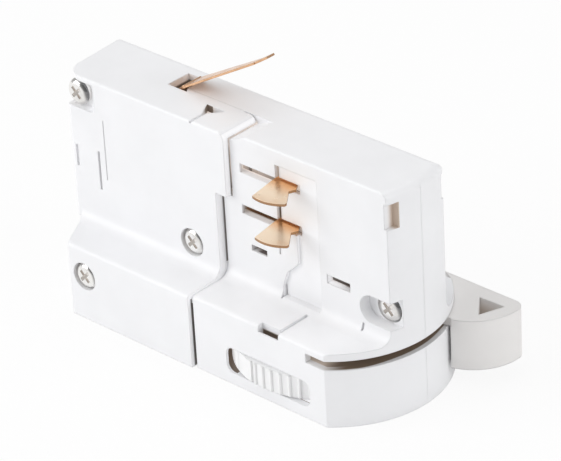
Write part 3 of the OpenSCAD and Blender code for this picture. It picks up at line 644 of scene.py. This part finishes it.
ROLLED_ALONG_X = (0.15, 1.0, 1.0)
DRAWN_ALONG_X = (0.2, 1.0, 1.0)
copper = metal("contact_copper", tint=(0.92, 0.76, 0.58), dull=(0.90, 0.70, 0.50), rough=(0.26, 0.38),
               edge=0.12, line_scale=900.0, shade=contact_shade)
busbar_copper = metal("busbar_copper", tint=(0.90, 0.60, 0.38), dull=(0.80, 0.50, 0.30), rough=(0.20, 0.34),
                      edge=0.12, line_scale=700.0, stretch=ROLLED_ALONG_X)
blade_copper = metal("earth_blade_copper", tint=(0.78, 0.48, 0.29), dull=(0.62, 0.36, 0.20),
                     rough=(0.18, 0.30), edge=0.12, line_scale=700.0, stretch=ROLLED_ALONG_X)
brass = metal("terminal_brass", tint=(0.87, 0.72, 0.40), dull=(0.74, 0.58, 0.28), rough=(0.24, 0.38),
              edge=0.1, line_scale=800.0)
nickel = metal("nickel_plate", tint=(0.86, 0.85, 0.83), dull=(0.72, 0.70, 0.68), rough=(0.14, 0.26),
               edge=0.2, line_scale=1200.0)
screw_nickel = metal("screw_nickel", tint=(0.88, 0.87, 0.85), dull=(0.70, 0.68, 0.66), rough=(0.12, 0.24),
                     edge=0.2, line_scale=1200.0, shade=screw_shade)
steel = metal("spring_steel", tint=(0.66, 0.67, 0.68), dull=(0.54, 0.54, 0.54), rough=(0.26, 0.40),
              edge=0.1, line_scale=700.0, stretch=DRAWN_ALONG_X)

FINISH = {
    "left_front_cover": left_white, "left_rear_cover": left_white,
    "right_front_housing": right_white, "right_rear_housing": right_white,
    "housing_screws": screw_nickel, "lever": lever_grey, "locking_cam": steel,
    "selector_wheel": wheel_white, "selector_shaft": steel, "shaft_clip": steel,
    "contact_drum": drum_white, "phase_contact": copper, "neutral_contact": copper,
    "earth_spring": blade_copper, "earth_foot": blade_copper, "earth_rivet": brass,
    "terminal_block": block_grey, "terminal_clamps": brass, "terminal_screws": nickel,
    "phase_busbar": busbar_copper, "neutral_busbar": busbar_copper,
    "stem_nut": nickel, "detent_spring": steel,
}
for name, mat in FINISH.items():
    for item in NODES[name].material_slots:
        item.material = mat


# Floor. Lengths from here on are in metres, unless they are times MM.

FLOOR_HALF = 3.0
# Keeps the floor clear of the underside
FLOOR_DROP = 0.05 * MM
PAPER_FLECK = (40.0, 3.0, 0.5)
PAPER_DARK = (0.88, 0.88, 0.88)
PAPER_PALE = (0.90, 0.90, 0.90)
SEEN_PAPER = (0.10, 0.10, 0.10, 1.0)
SEEN_GLOW = (0.89, 0.89, 0.89, 1.0)


def floor_material():
    """Pale paper. Where it is seen or mirrored, most of its brightness is a glow, so its shadow is faint."""
    mat, tree, surface = new_tree("floor_paper")
    paper = tree.nodes.new("ShaderNodeBsdfDiffuse")
    fleck = noise(tree, place(tree), *PAPER_FLECK)
    tree.links.new(mix_colour(tree, fleck, PAPER_DARK, PAPER_PALE), paper.inputs["Color"])
    seen = tree.nodes.new("ShaderNodeBsdfDiffuse")
    seen.inputs["Color"].default_value = SEEN_PAPER
    glow = tree.nodes.new("ShaderNodeEmission")
    glow.inputs["Color"].default_value = SEEN_GLOW
    glow.inputs["Strength"].default_value = 1.0
    both = tree.nodes.new("ShaderNodeAddShader")
    tree.links.new(seen.outputs[0], both.inputs[0])
    tree.links.new(glow.outputs[0], both.inputs[1])
    path = tree.nodes.new("ShaderNodeLightPath").outputs
    rays = any_of(tree, path["Is Camera Ray"], path["Is Glossy Ray"], path["Is Transmission Ray"])
    pick = tree.nodes.new("ShaderNodeMixShader")
    tree.links.new(rays, pick.inputs["Fac"])
    tree.links.new(paper.outputs[0], pick.inputs[1])
    tree.links.new(both.outputs[0], pick.inputs[2])
    tree.links.new(pick.outputs[0], surface)
    return mat


floor_corners = [(sx * FLOOR_HALF, sy * FLOOR_HALF, 0.0) for sx, sy in ((-1, -1), (1, -1), (1, 1), (-1, 1))]
floor_mesh = bpy.data.meshes.new("floor")
floor_mesh.from_pydata(floor_corners, [], [(0, 1, 2, 3)])
floor = bpy.data.objects.new("floor", floor_mesh)
floor.location.z = -FLOOR_DROP
floor_mesh.materials.append(floor_material())
scene.collection.objects.link(floor)


# Light

SKY_STRENGTH = 0.46
LIGHT_AIM = Vector((-0.02, 0.0, 0.03))
# Name, place, side and power in watts of each softbox
SOFTBOXES = (
    ("left_box", (-0.87, -0.98, 0.52), 0.9, 8.3),
    ("right_box", (1.29, 0.28, 0.52), 0.9, 5.9),
    ("top_rear_box", (-0.25, 0.35, 1.45), 1.2, 4.3),
    ("top_front_box", (-0.35, -0.55, 1.40), 1.2, 3.8),
)

world = bpy.data.worlds.new("studio")
world.use_nodes = True
scene.world = world
sky = world.node_tree.nodes["Background"]
sky.inputs["Color"].default_value = (1.0, 1.0, 1.0, 1.0)
sky.inputs["Strength"].default_value = SKY_STRENGTH


def softbox(name, at, side, power):
    data = bpy.data.lights.new(name, "AREA")
    data.shape = "SQUARE"
    data.size = side
    data.energy = power
    lamp = bpy.data.objects.new(name, data)
    lamp.location = at
    aim = LIGHT_AIM - Vector(at)
    lamp.rotation_euler = aim.to_track_quat("-Z", "Y").to_euler()
    scene.collection.objects.link(lamp)


for box in SOFTBOXES:
    softbox(*box)


# Camera, fitted to the photograph's perspective

AZIMUTH = math.radians(44.55)
ELEVATION = math.radians(29.96)
ROLL = math.radians(-3.27)
FOCAL_PX = 3605.5
DISTANCE = 796.4 * MM
AIM_RIGHT = -13.20 * MM
AIM_UP = 29.52 * MM
IMAGE_W = 561
SENSOR = 36.0
CLIP_START = 0.01
CLIP_END = 20.0


def make_camera():
    back = Vector((math.sin(AZIMUTH) * math.cos(ELEVATION), -math.cos(AZIMUTH) * math.cos(ELEVATION),
                   math.sin(ELEVATION)))
    level_right = Vector((math.cos(AZIMUTH), math.sin(AZIMUTH), 0.0))
    level_up = back.cross(level_right)
    right = math.cos(ROLL) * level_right + math.sin(ROLL) * level_up
    up = -math.sin(ROLL) * level_right + math.cos(ROLL) * level_up
    target = AIM_RIGHT * right + AIM_UP * up
    data = bpy.data.cameras.new("camera")
    data.sensor_width = SENSOR
    data.lens = FOCAL_PX / IMAGE_W * SENSOR
    data.clip_start = CLIP_START
    data.clip_end = CLIP_END
    cam = bpy.data.objects.new("camera", data)
    turn = Matrix((right, up, back)).transposed()
    cam.matrix_world = Matrix.Translation(target + DISTANCE * back) @ turn.to_4x4()
    scene.collection.objects.link(cam)
    scene.camera = cam


make_camera()
